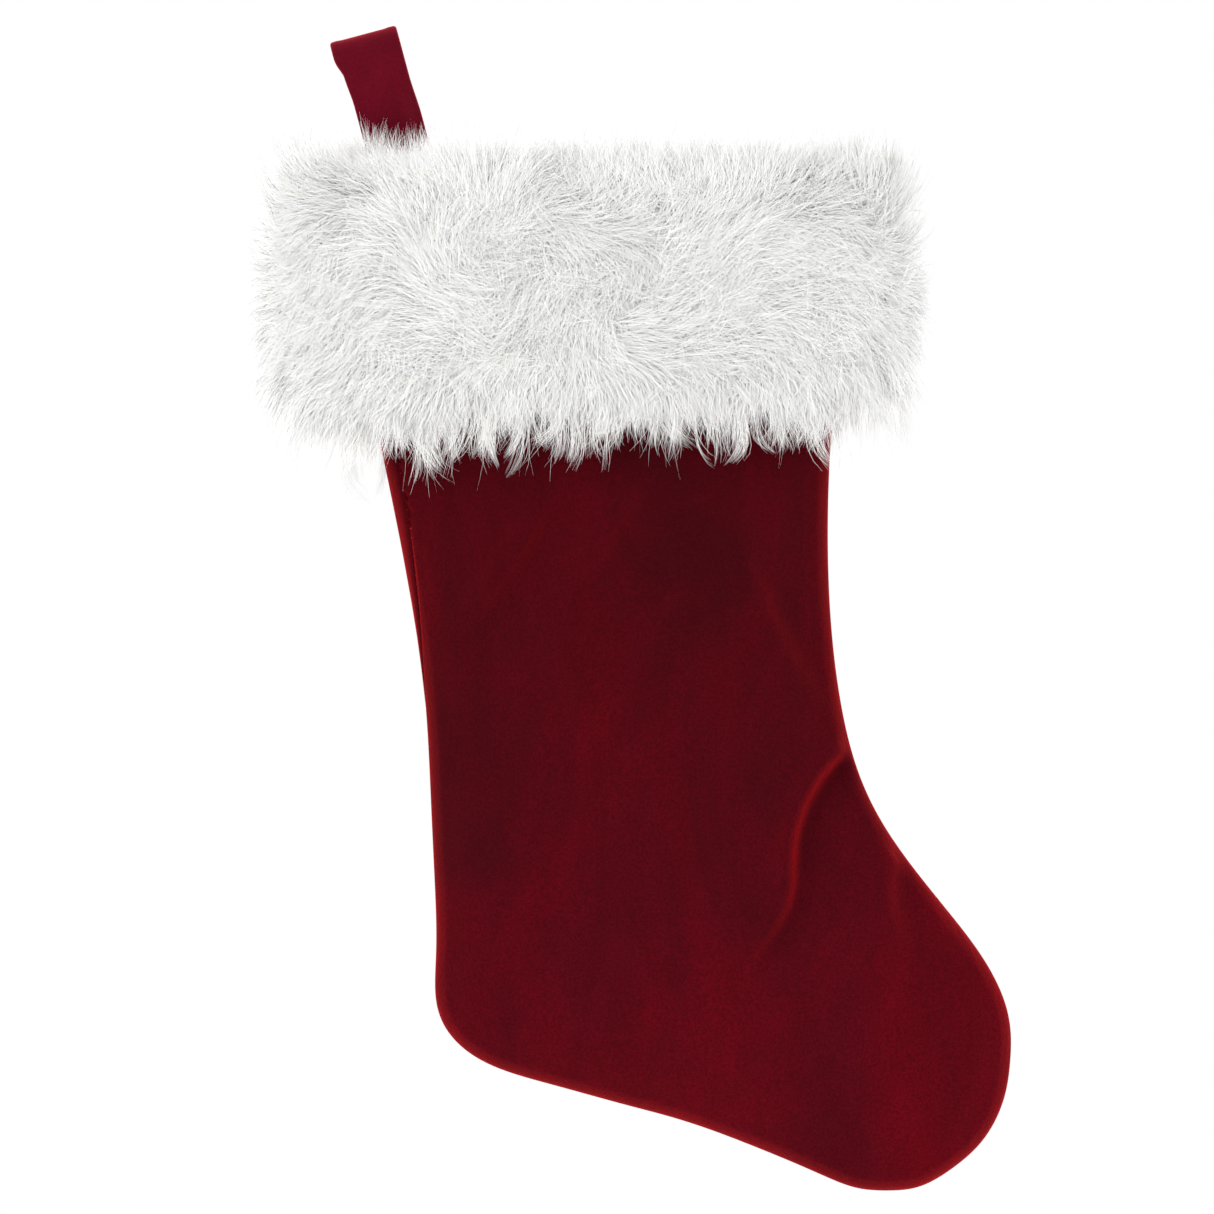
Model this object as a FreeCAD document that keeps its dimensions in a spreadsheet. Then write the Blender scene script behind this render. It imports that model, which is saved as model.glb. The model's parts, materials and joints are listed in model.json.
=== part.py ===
"""Hanging stocking: lined velvet leg and foot, deep fur cuff and a folded hanging loop.

Frame: millimetres, +Z up, X along the foot towards the toe, the front panel faces -Y.
The origin is where a hook touches the inside of the loop's fold.  Everything hangs below it, so a
"drop" is a distance below the origin.  The leg, the lining and the cuff are lens-shaped tubes: lofts
through ellipses whose ends lie on the seam line and whose half depths give the softly filled body.
The loop folds forwards and backwards about a line along X where its two ends enter the mouth seam.
"""

import FreeCAD, Part
import math
import os

import Sketcher
from FreeCAD import Vector

doc = FreeCAD.newDocument("hanging_stocking")
dims = doc.addObject("Spreadsheet::Sheet", "dims")

# ------------------------------------------------------------------ driving dimensions

FIELDS = ("drop", "heel_x", "toe_x", "depth", "raise")

# Sections of the velvet tube: drop below the origin, x of the heel side, x of the toe side and half
# depth.  The last value is 1 where the sole passes, because a layer inside the velvet is raised there
# by its inset as well as narrowed by it.
LEG_SECTIONS = {
    "rim": (54, -17, 210.5, 12, 0),
    "mouth": (64, -16, 210, 12, 0),
    "hem": (167, 5.5, 202, 16, 0),
    "calf": (228, 18, 200.4, 18, 0),
    "shin": (285, 26.5, 205.5, 19, 0),
    "ankle": (330, 29, 219, 20, 0),
    "instep": (372, 31, 248.5, 20, 0),
    "ball": (400, 31, 269.5, 19.5, 0),
    "heel": (424, 33, 279, 18.5, 1),
    "sole_heel": (440, 48.5, 279, 18, 1),
    "sole_arch": (452, 84, 277.8, 17, 1),
    "sole_middle": (459, 109, 276, 16.2, 1),
    "sole_ball": (466, 135.5, 273, 15, 1),
    "sole_toe": (474, 158.5, 268.5, 13.2, 1),
    "toe": (482, 178.5, 261, 11, 1),
    "toe_round": (489.5, 196, 251, 8.5, 1),
    "toe_tip": (497, 214, 237, 5.5, 1),
}

# Sections of the cuff's inside, which is the knitted back of the fur fabric.
CUFF_INNER_SECTIONS = {
    "cuff_crown": (48, -18.6, 212.1, 13.6, 0),
    "cuff_seam": (64, -17.8, 211.8, 13.8, 0),
    "cuff_flare": (84, -25, 220, 17.5, 0),
    "cuff_middle": (125, -28, 225, 20, 0),
    "cuff_hem": (168, -27, 225, 21, 0),
    "cuff_fringe": (190, -26, 224, 21.5, 0),
}

# Sections of the fur's outer surface, from its crown to the tips of its fringe.
FUR_SECTIONS = {
    "fur_crown": (50, -34, 224, 25, 0),
    "fur_shoulder": (60, -44, 234, 33, 0),
    "fur_body": (95, -47, 239, 38, 0),
    "fur_waist": (135, -44, 243, 39, 0),
    "fur_hem": (166, -38, 239, 36, 0),
    "fur_fringe": (180, -31, 231, 30, 0),
    "fur_tips": (188, -27.5, 225.5, 23.5, 0),
}

SINGLE_DIMENSIONS = {
    "seam_plane": -7,
    "velvet": 1.5,
    "lining": 0.7,
    "facing": 1.0,
    "ease": 0.2,
    "facing_bottom": 160,
    "loop_lean": 15,
    "loop_width": 28.8,
    "loop_layer": 2.4,
    "eye_half_width": 4.2,
    "eye_straight": 30,
    "eye_bottom": 50,
    "fold_drop": 60,
    "tail_thickness": 1.2,
    "tail_left": 1.5,
    "tail_right": 30.5,
    "tail_length": 16,
    "tail_rise": 1.2,
    "swing_left": -19,
    "swing_right": 36,
    "swing_floor": 66,
    "thread_radius": 0.25,
    "seam_pitch": 12,
    "seam_start": 10,
    "hem_pitch": 15,
    "hem_stitch_rise": 3,
    "hem_stitch_reach": 1.5,
    "mouth_row_drop": 4,
    "mouth_stitch_inner": 2.5,
    "mouth_stitch_outer": 3.4,
    "tail_row_drop": 7,
    "tail_row_gap": 5,
    "tail_stitch_inner": 1.8,
    "tail_stitch_outer": 2.9,
    "loop_pitch": 3.5,
    "loop_row_rise": 6,
    "loop_stitch_proud": 0.3,
}


# Trims that reach past everything they cut.
BROAD_X = ("-200", "400")
FAR_FRONT = "-200"
FAR_BACK = "200"
BELOW_TOE = "520"
ABOVE_FUR = "20"


def add_cell(row, alias, value):
    dims.set("A%d" % row, alias)
    dims.set("B%d" % row, repr(value))
    dims.setAlias("B%d" % row, alias)


def fill_sheet():
    """Write every driving dimension as a plain number with its alias."""
    named = []
    for table in (LEG_SECTIONS, CUFF_INNER_SECTIONS, FUR_SECTIONS):
        for section, values in table.items():
            named += [(section + "_" + field, value) for field, value in zip(FIELDS, values)]
    named += SINGLE_DIMENSIONS.items()
    for row, (alias, value) in enumerate(named, start=1):
        add_cell(row, alias, value)
    doc.recompute()


def size(alias):
    return float(dims.get(alias))


fill_sheet()


# ------------------------------------------------------------------ building blocks


def lens_tube(name, sections, inset):
    """Solid loft through one ellipse per section, every one drawn in by the expression inset."""
    ellipses = []
    for section in sections:
        ellipse = doc.addObject("Part::Ellipse", "%s_%s" % (name, section))
        cell = "dims." + section
        ellipse.setExpression("MajorRadius", "(%s_toe_x - %s_heel_x) / 2 - (%s)" % (cell, cell, inset))
        ellipse.setExpression("MinorRadius", "%s_depth - (%s)" % (cell, inset))
        ellipse.setExpression("Placement.Base.x", "(%s_toe_x + %s_heel_x) / 2" % (cell, cell))
        ellipse.setExpression("Placement.Base.y", "dims.seam_plane")
        ellipse.setExpression("Placement.Base.z", "%s_raise * (%s) - %s_drop" % (cell, inset, cell))
        ellipses.append(ellipse)
    tube = doc.addObject("Part::Loft", name)
    tube.Sections = ellipses
    tube.Solid = True
    return tube


def block(name, x_span, y_span, z_span):
    """Box between three pairs of expressions, low side first."""
    box = doc.addObject("Part::Box", name)
    for side, axis, (low, high) in zip(("Length", "Width", "Height"), "xyz", (x_span, y_span, z_span)):
        box.setExpression(side, "(%s) - (%s)" % (high, low))
        box.setExpression("Placement.Base." + axis, low)
    return box


def cut(name, base, tool):
    result = doc.addObject("Part::Cut", name)
    result.Base = base
    result.Tool = tool
    return result


def common(name, base, tool):
    result = doc.addObject("Part::Common", name)
    result.Base = base
    result.Tool = tool
    return result


def panel_pair(front_name, back_name, wall, top, bottom):
    """Front and back panel of a tube's wall: parted at the seam plane, trimmed at two drops."""
    z_span = ("-(%s)" % bottom, "-(%s)" % top)
    front_half = block(front_name + "_half", BROAD_X, (FAR_FRONT, "dims.seam_plane"), z_span)
    back_half = block(back_name + "_half", BROAD_X, ("dims.seam_plane", FAR_BACK), z_span)
    return common(front_name, wall, front_half), common(back_name, wall, back_half)


# ------------------------------------------------------------------ velvet shell and lining

LINING_OUTSIDE = "dims.velvet + dims.ease"
LINING_INSIDE = LINING_OUTSIDE + " + dims.lining"

leg_outside = lens_tube("leg_outside", LEG_SECTIONS, "0")
velvet_inside = lens_tube("velvet_inside", LEG_SECTIONS, "dims.velvet")
shell_wall = cut("shell_wall", leg_outside, velvet_inside)
shell_front, shell_back = panel_pair("shell_front", "shell_back", shell_wall,
                                     "dims.mouth_drop", BELOW_TOE)

lining_outside = lens_tube("lining_outside", LEG_SECTIONS, LINING_OUTSIDE)
lining_inside = lens_tube("lining_inside", LEG_SECTIONS, LINING_INSIDE)
lining_wall = cut("lining_wall", lining_outside, lining_inside)
lining_front, lining_back = panel_pair("lining_front", "lining_back", lining_wall,
                                       "dims.mouth_drop", BELOW_TOE)


# ------------------------------------------------------------------ cuff: facing and fur

fur_inside = lens_tube("fur_inside", CUFF_INNER_SECTIONS, "0")
facing_outside = lens_tube("facing_outside", CUFF_INNER_SECTIONS, "dims.ease")
facing_inside = lens_tube("facing_inside", CUFF_INNER_SECTIONS, "dims.ease + dims.facing")
facing_wall = cut("facing_wall", facing_outside, facing_inside)
facing_front, facing_back = panel_pair("cuff_facing_front", "cuff_facing_back", facing_wall,
                                       "dims.cuff_seam_drop", "dims.facing_bottom")

# The fur is parted where the loop folds over it, to the front and to the back.
fur_outside = lens_tube("fur_outside", FUR_SECTIONS, "0")
fur_ring = cut("fur_ring", fur_outside, fur_inside)
loop_parting = block("loop_parting", ("dims.swing_left", "dims.swing_right"), (FAR_FRONT, FAR_BACK),
                     ("-dims.swing_floor", "0"))
parted_fur = cut("parted_fur", fur_ring, loop_parting)
fur_front, fur_back = panel_pair("cuff_fur_front", "cuff_fur_back", parted_fur, ABOVE_FUR, BELOW_TOE)


# ------------------------------------------------------------------ hanging loop

ORIGIN = (-1, 1)
VERTICAL_AXIS = -2


def bind(sketch, kind, arguments, expression):
    """Dimensional constraint whose value is an expression of the sheet's cells."""
    index = sketch.addConstraint(Sketcher.Constraint(kind, *arguments))
    sketch.setExpression("Constraints[%d]" % index, expression)


def sketch_on(body, name, role):
    """New sketch attached to one of the body's own origin planes."""
    sketch = body.newObject("Sketcher::SketchObject", name)
    plane = next(feature for feature in body.Origin.OriginFeatures if feature.Role == role)
    sketch.AttachmentSupport = [(plane, "")]
    sketch.MapMode = "FlatFace"
    return sketch


def arch(sketch, radius, foot_half, foot_level, end_level):
    """Arch seen along the loop's width: round top, straight legs, then a taper to its foot.

    radius, foot_half, foot_level and end_level are (start value, expression) pairs.  A foot_half of
    None closes the taper to a point at foot_level; otherwise the foot runs on to end_level.
    """
    top = -size("eye_half_width")
    waist = -size("eye_straight")
    half = radius[0]
    foot = foot_half[0] if foot_half else 0
    spots = [(-half, top), (-half, waist), (-foot, foot_level[0])]
    if foot_half:
        spots += [(-foot, end_level[0]), (foot, end_level[0]), (foot, foot_level[0])]
    spots += [(half, waist), (half, top)]

    circle = Part.Circle(Vector(0, top, 0), Vector(0, 0, 1), half)
    start = sketch.GeometryCount
    arc = sketch.addGeometry(Part.ArcOfCircle(circle, 0, math.pi), False)
    for (x1, y1), (x2, y2) in zip(spots, spots[1:]):
        sketch.addGeometry(Part.LineSegment(Vector(x1, y1, 0), Vector(x2, y2, 0)), False)
    last = sketch.GeometryCount - 1
    first = start + 1

    sketch.addConstraint(Sketcher.Constraint("Tangent", arc, 2, first, 1))
    sketch.addConstraint(Sketcher.Constraint("Tangent", last, 2, arc, 1))
    for line in range(first, last):
        sketch.addConstraint(Sketcher.Constraint("Coincident", line, 2, line + 1, 1))
    sketch.addConstraint(Sketcher.Constraint("PointOnObject", arc, 3, VERTICAL_AXIS))
    bind(sketch, "DistanceY", (*ORIGIN, arc, 3, top), "-dims.eye_half_width")
    bind(sketch, "Radius", (arc, half), radius[1])
    sketch.addConstraint(Sketcher.Constraint("Vertical", first))
    sketch.addConstraint(Sketcher.Constraint("Vertical", last))
    bind(sketch, "DistanceY", (*ORIGIN, first, 2, waist), "-dims.eye_straight")
    bind(sketch, "DistanceY", (*ORIGIN, last, 1, waist), "-dims.eye_straight")
    taper = first + 1
    bind(sketch, "DistanceY", (*ORIGIN, taper, 2, foot_level[0]), foot_level[1])
    if not foot_half:
        sketch.addConstraint(Sketcher.Constraint("PointOnObject", taper, 2, VERTICAL_AXIS))
        return
    bind(sketch, "DistanceX", (*ORIGIN, taper, 2, -foot), "-(%s)" % foot_half[1])
    bind(sketch, "DistanceX", (*ORIGIN, last - 1, 1, foot), foot_half[1])
    bind(sketch, "DistanceY", (*ORIGIN, last - 1, 1, foot_level[0]), foot_level[1])
    sketch.addConstraint(Sketcher.Constraint("Vertical", taper + 1))
    sketch.addConstraint(Sketcher.Constraint("Horizontal", taper + 2))
    sketch.addConstraint(Sketcher.Constraint("Vertical", taper + 3))
    bind(sketch, "DistanceY", (*ORIGIN, taper + 1, 2, end_level[0]), end_level[1])


def make_loop():
    """Velvet strip folded over its eye, leaning towards the heel, its foot cut level at the fold line."""
    body = doc.addObject("PartDesign::Body", "hanging_loop")
    body.Placement = FreeCAD.Placement(Vector(0, 0, 0), FreeCAD.Rotation(Vector(0, 1, 0), 0))
    body.setExpression("Placement.Rotation.Axis.y", "1")
    body.setExpression("Placement.Rotation.Axis.z", "0")
    body.setExpression("Placement.Rotation.Angle", "-dims.loop_lean")

    profile = sketch_on(body, "loop_side_view", "YZ_Plane")
    eye_half = size("eye_half_width")
    layer = size("loop_layer")
    eye_bottom = (-size("eye_bottom"), "-dims.eye_bottom")
    past_fold = (-2 * size("fold_drop"), "-2 * dims.fold_drop")
    arch(profile, (eye_half + layer, "dims.eye_half_width + dims.loop_layer"),
         (layer, "dims.loop_layer"), eye_bottom, past_fold)
    arch(profile, (eye_half, "dims.eye_half_width"), None, eye_bottom, None)
    doc.recompute()

    strip = body.newObject("PartDesign::Pad", "loop_strip")
    strip.Profile = profile
    strip.Midplane = True
    strip.setExpression("Length", "dims.loop_width")
    doc.recompute()

    level = sketch_on(body, "loop_foot_level", "XZ_Plane")
    reach = "dims.loop_width"
    heel_end = "(%s * sin(dims.loop_lean) - dims.fold_drop) / cos(dims.loop_lean)" % reach
    toe_end = "(-%s * sin(dims.loop_lean) - dims.fold_drop) / cos(dims.loop_lean)" % reach
    below = "-3 * dims.fold_drop"
    corners = [("-" + reach, heel_end), (reach, toe_end), (reach, below), ("-" + reach, below)]
    half, fold = size("loop_width"), size("fold_drop")
    starts = [Vector(-half, -fold, 0), Vector(half, -fold, 0),
              Vector(half, -3 * fold, 0), Vector(-half, -3 * fold, 0)]
    for begin, end in zip(starts, starts[1:] + starts[:1]):
        level.addGeometry(Part.LineSegment(begin, end), False)
    for side, (x, y) in enumerate(corners):
        level.addConstraint(Sketcher.Constraint("Coincident", side, 1, (side - 1) % 4, 2))
        bind(level, "DistanceX", (*ORIGIN, side, 1, starts[side].x), x)
        bind(level, "DistanceY", (*ORIGIN, side, 1, starts[side].y), y)
    doc.recompute()

    trim = body.newObject("PartDesign::Pocket", "loop_foot_trim")
    trim.Profile = level
    trim.Type = "ThroughAll"
    trim.Midplane = True
    body.Tip = trim
    doc.recompute()
    if trim.Shape.Volume >= strip.Shape.Volume:
        raise RuntimeError("the loop's foot was not trimmed")
    return body


hanging_loop = make_loop()

# The strip's two ends below the fold line lie flat against the lining, inside the mouth.
TAIL_OUTSIDE = LINING_INSIDE + " + dims.ease"
TAIL_INSIDE = TAIL_OUTSIDE + " + dims.tail_thickness"
tail_outside = lens_tube("tail_outside", LEG_SECTIONS, TAIL_OUTSIDE)
tail_inside = lens_tube("tail_inside", LEG_SECTIONS, TAIL_INSIDE)
tail_wall = cut("tail_wall", tail_outside, tail_inside)
tail_block = block("tail_block", ("dims.tail_left", "dims.tail_right"), ("dims.seam_plane", FAR_BACK),
                   ("-dims.mouth_drop - dims.tail_length", "-dims.mouth_drop + dims.tail_rise"))
loop_tail = common("loop_tail", tail_wall, tail_block)

doc.recompute()


# ------------------------------------------------------------------ stitches

ALONG_Y = Vector(0, 1, 0)
ALONG_Z = Vector(0, 0, 1)


def outline_points(tube, across, level, pitch):
    """Evenly spaced (point, outward direction) pairs round a tube's section at a level of across."""
    outline = tube.Shape.slice(across, level)[0]
    points = outline.discretize(Number=int(outline.Length / pitch) + 1)[:-1]
    turning = Vector()
    for before, after in zip(points, points[1:] + points[:1]):
        turning += (before - points[0]).cross(after - points[0])
    side = 1 if turning.dot(across) > 0 else -1
    pairs = []
    for before, point, after in zip(points[-1:] + points[:-1], points, points[1:] + points[:1]):
        outward = (after - before).cross(across) * side
        pairs.append((point, outward.normalize()))
    return pairs


def stitch(start, direction, length):
    return Part.makeCylinder(size("thread_radius"), length, start, direction)


def thread_group(name, stitches):
    """One node for a row of separate stitches."""
    group = doc.addObject("Part::Feature", name)
    group.Shape = Part.makeCompound(stitches)
    group.Placement = FreeCAD.Placement()
    return group


def seam_row(tube, offset, length, top, bottom):
    """Stitches across the seam plane, set off outwards from a tube's outline, between two drops."""
    row = []
    for point, outward in outline_points(tube, ALONG_Y, size("seam_plane"), size("seam_pitch")):
        if -bottom < point.z < -top:
            middle = point + outward * offset
            row.append(stitch(middle - ALONG_Y * (length / 2), ALONG_Y, length))
    return row


def ring_row(tube, drop, inner, outer, pitch, keep=lambda point: True):
    """Stitches that run outwards through a tube's wall, from inner to outer past its section."""
    row = []
    for point, outward in outline_points(tube, ALONG_Z, -drop, pitch):
        if keep(point):
            row.append(stitch(point - outward * inner, outward, inner + outer))
    return row


def under_tail(point):
    """True where a stitch passes through the loop's tail, clear of the tail's two edges."""
    edge = 2 * size("thread_radius") + 1
    return (point.y > size("seam_plane")
            and size("tail_left") + edge < point.x < size("tail_right") - edge)


def tail_rows(top):
    """Two rows of stitches through the loop's tail, the lining and the velvet, the first at drop top."""
    rows = []
    for drop in (top, top + size("tail_row_gap")):
        rows += ring_row(lining_inside, drop, size("tail_stitch_inner"), size("tail_stitch_outer"),
                         size("loop_pitch"), under_tail)
    return rows


def closing_row():
    """Stitches through both layers of the strip, across its width just above the fold line."""
    length = 2 * (size("loop_layer") + size("loop_stitch_proud"))
    level = size("loop_row_rise") - size("fold_drop")
    pitch = size("loop_pitch")
    last = int(size("loop_width") / 2 / pitch - 0.5)
    spots = [Vector(step * pitch, -length / 2, level) for step in range(-last, last + 1)]
    return [stitch(hanging_loop.Placement.multVec(spot), ALONG_Y, length) for spot in spots]


mouth = size("mouth_drop")
hem = size("facing_bottom")
velvet = size("velvet")
seam_top = mouth + size("seam_start")
seam_bottom = size("toe_tip_drop")

shell_seam_thread = thread_group(
    "shell_seam_thread", seam_row(leg_outside, -velvet / 2, 2 * velvet, seam_top, seam_bottom))
lining_seam_thread = thread_group(
    "lining_seam_thread", seam_row(lining_outside, -size("lining") / 2, velvet, seam_top, seam_bottom))
cuff_seam_thread = thread_group(
    "cuff_seam_thread", seam_row(fur_inside, velvet, 2 * velvet, seam_top, hem))
mouth_seam_thread = thread_group(
    "mouth_seam_thread", ring_row(leg_outside, mouth + size("mouth_row_drop"), size("mouth_stitch_inner"),
                                  size("mouth_stitch_outer"), size("hem_pitch")))
cuff_hem_thread = thread_group(
    "cuff_hem_thread", ring_row(fur_inside, hem - size("hem_stitch_rise"), size("hem_stitch_reach"),
                                size("hem_stitch_reach"), size("hem_pitch")))
loop_bartack_thread = thread_group("loop_bartack_thread", tail_rows(mouth + size("tail_row_drop")))
loop_closing_thread = thread_group("loop_closing_thread", closing_row())


# ------------------------------------------------------------------ checks and files

NODES = [
    shell_front, shell_back, lining_front, lining_back,
    facing_front, facing_back, fur_front, fur_back,
    hanging_loop, loop_tail,
    shell_seam_thread, lining_seam_thread, mouth_seam_thread,
    cuff_seam_thread, cuff_hem_thread, loop_closing_thread, loop_bartack_thread,
]


def check_and_write():
    """Stop on any failed object or bad shape, then write one STEP file per node."""
    doc.recompute()
    for part in doc.Objects:
        if "Invalid" in part.State or "Error" in part.State:
            raise RuntimeError("%s failed: %s" % (part.Label, part.State))
    for node in NODES:
        if node.Shape.isNull() or not node.Shape.isValid() or not node.Shape.Solids:
            raise RuntimeError("%s has no valid solid" % node.Label)
    os.makedirs("parts", exist_ok=True)
    for node in NODES:
        node.Shape.exportStep("parts/%s.step" % node.Label)
        print("%-22s solids %3d  volume %9.1f mm3" % (node.Label, len(node.Shape.Solids),
                                                      node.Shape.Volume))


check_and_write()
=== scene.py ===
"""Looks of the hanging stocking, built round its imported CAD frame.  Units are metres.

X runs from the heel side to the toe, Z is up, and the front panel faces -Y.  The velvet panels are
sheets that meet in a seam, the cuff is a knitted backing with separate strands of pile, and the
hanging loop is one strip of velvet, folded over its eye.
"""

import json
import math

import bpy
import numpy as np
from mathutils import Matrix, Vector, noise
from mathutils.geometry import delaunay_2d_cdt
from mathutils.kdtree import KDTree


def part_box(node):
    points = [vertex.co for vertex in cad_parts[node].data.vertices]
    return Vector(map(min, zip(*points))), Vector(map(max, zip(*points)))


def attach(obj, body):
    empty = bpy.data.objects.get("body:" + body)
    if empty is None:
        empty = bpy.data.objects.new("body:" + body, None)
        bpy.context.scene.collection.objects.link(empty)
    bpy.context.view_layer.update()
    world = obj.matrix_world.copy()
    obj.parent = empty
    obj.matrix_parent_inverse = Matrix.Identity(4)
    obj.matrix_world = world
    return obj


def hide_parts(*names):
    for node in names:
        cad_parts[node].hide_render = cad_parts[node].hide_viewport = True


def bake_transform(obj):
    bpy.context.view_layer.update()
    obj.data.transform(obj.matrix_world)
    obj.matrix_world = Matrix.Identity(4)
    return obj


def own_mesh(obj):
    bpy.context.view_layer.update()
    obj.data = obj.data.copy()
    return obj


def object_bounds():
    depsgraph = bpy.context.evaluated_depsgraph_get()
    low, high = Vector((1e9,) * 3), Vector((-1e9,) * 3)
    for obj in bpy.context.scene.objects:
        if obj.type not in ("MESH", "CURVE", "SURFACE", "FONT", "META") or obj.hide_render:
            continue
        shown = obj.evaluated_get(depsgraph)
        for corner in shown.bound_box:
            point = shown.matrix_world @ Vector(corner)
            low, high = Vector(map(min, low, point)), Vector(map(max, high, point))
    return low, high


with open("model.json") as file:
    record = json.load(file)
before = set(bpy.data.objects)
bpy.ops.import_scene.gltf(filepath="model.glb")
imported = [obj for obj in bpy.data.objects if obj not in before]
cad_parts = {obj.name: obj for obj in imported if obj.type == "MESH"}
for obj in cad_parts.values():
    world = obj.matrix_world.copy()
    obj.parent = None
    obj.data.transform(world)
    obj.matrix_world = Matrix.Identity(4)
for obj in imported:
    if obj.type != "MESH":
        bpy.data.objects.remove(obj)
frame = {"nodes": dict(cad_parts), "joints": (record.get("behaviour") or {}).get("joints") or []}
cad_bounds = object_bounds()

MM = 0.001
rng = np.random.default_rng(24)

SHELL_LOW, SHELL_HIGH = (np.array(c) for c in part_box("shell_front"))
FACING_LOW, FACING_HIGH = (np.array(c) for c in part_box("cuff_facing_front"))
LOOP_LOW, LOOP_HIGH = (np.array(c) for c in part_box("hanging_loop"))
SEAM_Y = SHELL_HIGH[1]
MOUTH_Z = SHELL_HIGH[2]
HEM_Z = FACING_LOW[2]
HINGE = np.array(frame["joints"][0]["pos_m"])
BOX_LOW, BOX_HIGH = (np.array(c) for c in cad_bounds)
BOX_CENTRE = (BOX_LOW + BOX_HIGH) / 2


# ---- small tools


def smoothstep(low, high, value):
    """Soft step from 0 at low to 1 at high."""
    t = np.clip((value - low) / (high - low), 0, 1)
    return t * t * (3 - 2 * t)


def unit(vectors):
    """Vectors at length one; a zero vector stays zero."""
    return vectors / np.maximum(np.linalg.norm(vectors, axis=-1, keepdims=True), 1e-12)


def field(points, scale, seed):
    """Smooth noise from -1 to 1 at each point, with features about scale metres across."""
    shift = Vector((13.7 * seed, 5.1 * seed, 3.3 * seed))
    return np.array([noise.noise(Vector(p) / scale + shift) for p in points])


def add_piece(name, vertices, faces, materials, face_slots=None, smooth=True):
    """New mesh object from arrays; faces is one array or a list of arrays of equal-sided faces."""
    mesh = bpy.data.meshes.new(name)
    groups = faces if isinstance(faces, list) else [faces]
    loops = np.concatenate([g.ravel() for g in groups])
    sizes = np.concatenate([np.full(len(g), g.shape[1]) for g in groups])
    starts = np.concatenate([[0], np.cumsum(sizes)[:-1]])
    mesh.vertices.add(len(vertices))
    mesh.vertices.foreach_set("co", np.asarray(vertices, np.float32).ravel())
    mesh.loops.add(len(loops))
    mesh.loops.foreach_set("vertex_index", loops.astype(np.int32))
    mesh.polygons.add(len(sizes))
    mesh.polygons.foreach_set("loop_start", starts.astype(np.int32))
    for material in materials:
        mesh.materials.append(material)
    if face_slots is not None:
        mesh.polygons.foreach_set("material_index", face_slots.astype(np.int32))
    mesh.update(calc_edges=True)
    mesh.validate()
    if smooth:
        mesh.polygons.foreach_set("use_smooth", np.ones(len(mesh.polygons), bool))
    piece = bpy.data.objects.new(name, mesh)
    bpy.context.scene.collection.objects.link(piece)
    return piece


def grid_faces(rows, columns, closed=False):
    """Quads of a rows by columns grid of vertices, wrapped round along its columns if closed."""
    r, c = np.meshgrid(np.arange(rows - 1), np.arange(columns if closed else columns - 1), indexing="ij")
    after = (c + 1) % columns
    return np.stack([r * columns + c, r * columns + after,
                     (r + 1) * columns + after, (r + 1) * columns + c], -1).reshape(-1, 4)


def resample(path, spacing):
    """Points evenly spaced along an open polyline."""
    steps = np.linalg.norm(np.diff(path, axis=0), axis=1)
    along = np.concatenate([[0], np.cumsum(steps)])
    count = max(2, int(round(along[-1] / spacing)) + 1)
    spots = np.linspace(0, along[-1], count)
    return np.stack([np.interp(spots, along, path[:, k]) for k in range(path.shape[1])], -1)


def smoothed(path, passes):
    """Polyline with its inner points averaged with their neighbours."""
    result = path.copy()
    for _ in range(passes):
        result[1:-1] = (result[:-2] + 2 * result[1:-1] + result[2:]) / 4
    return result


def add_thickness(piece, thickness):
    """Give a sheet its thickness, inwards from its surface."""
    solid = piece.modifiers.new("cloth", "SOLIDIFY")
    solid.thickness = thickness
    solid.offset = -1.0
    solid.use_even_offset = False


# ---- materials


class Nodes:
    """Builds one material's node tree round its Principled shader."""

    def __init__(self, name, **values):
        self.material = bpy.data.materials.new(name)
        self.material.use_nodes = True
        self.tree = self.material.node_tree
        self.shader = self.tree.nodes["Principled BSDF"]
        for socket, value in values.items():
            self.set(socket.replace("_", " "), value)

    def plug(self, socket, value):
        """Link an output to a socket, or set the socket to a plain value."""
        if isinstance(value, bpy.types.NodeSocket):
            self.tree.links.new(value, socket)
        else:
            socket.default_value = value

    def add(self, kind, inputs=(), **settings):
        node = self.tree.nodes.new("ShaderNode" + kind)
        for key, value in settings.items():
            setattr(node, key, value)
        for key, value in dict(inputs).items():
            self.plug(node.inputs[key], value)
        return node

    def set(self, socket, value):
        self.plug(self.shader.inputs[socket], value)

    def coords(self, stretch=(1, 1, 1)):
        place = self.add("TexCoord").outputs["Object"]
        return self.add("Mapping", {"Vector": place, "Scale": stretch}).outputs["Vector"]

    def noise(self, scale, detail=3.0, roughness=0.5, stretch=(1, 1, 1), distortion=0.0):
        return self.add("TexNoise", {"Vector": self.coords(stretch), "Scale": scale, "Detail": detail,
                                     "Roughness": roughness, "Distortion": distortion}).outputs["Fac"]

    def height(self, low, high):
        z = self.add("SeparateXYZ", {"Vector": self.coords()}).outputs["Z"]
        return self.add("MapRange", {"Value": z, "From Min": low, "From Max": high}).outputs["Result"]

    def ramp(self, factor, stops):
        node = self.add("ValToRGB", {"Fac": factor})
        elements = node.color_ramp.elements
        while len(elements) < len(stops):
            elements.new(0.5)
        for element, (position, colour) in zip(elements, stops):
            element.position = position
            element.color = (*colour, 1)
        return node.outputs["Color"]

    def blend(self, factor, first, second, mode="MIX"):
        node = self.add("Mix", data_type="RGBA", blend_type=mode)
        for index, value in ((0, factor), (6, first), (7, second)):
            self.plug(node.inputs[index], value)
        return node.outputs[2]

    def bump(self, height, strength, distance, under=None):
        inputs = {"Height": height, "Strength": strength, "Distance": distance}
        if under is not None:
            inputs["Normal"] = under
        return self.add("Bump", inputs).outputs["Normal"]


TONE_TURN_HEIGHTS = (-0.45, -0.25)  # heights between which the foot's tone of velvet goes over into the leg's


def grey(value):
    return (value,) * 3


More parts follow.
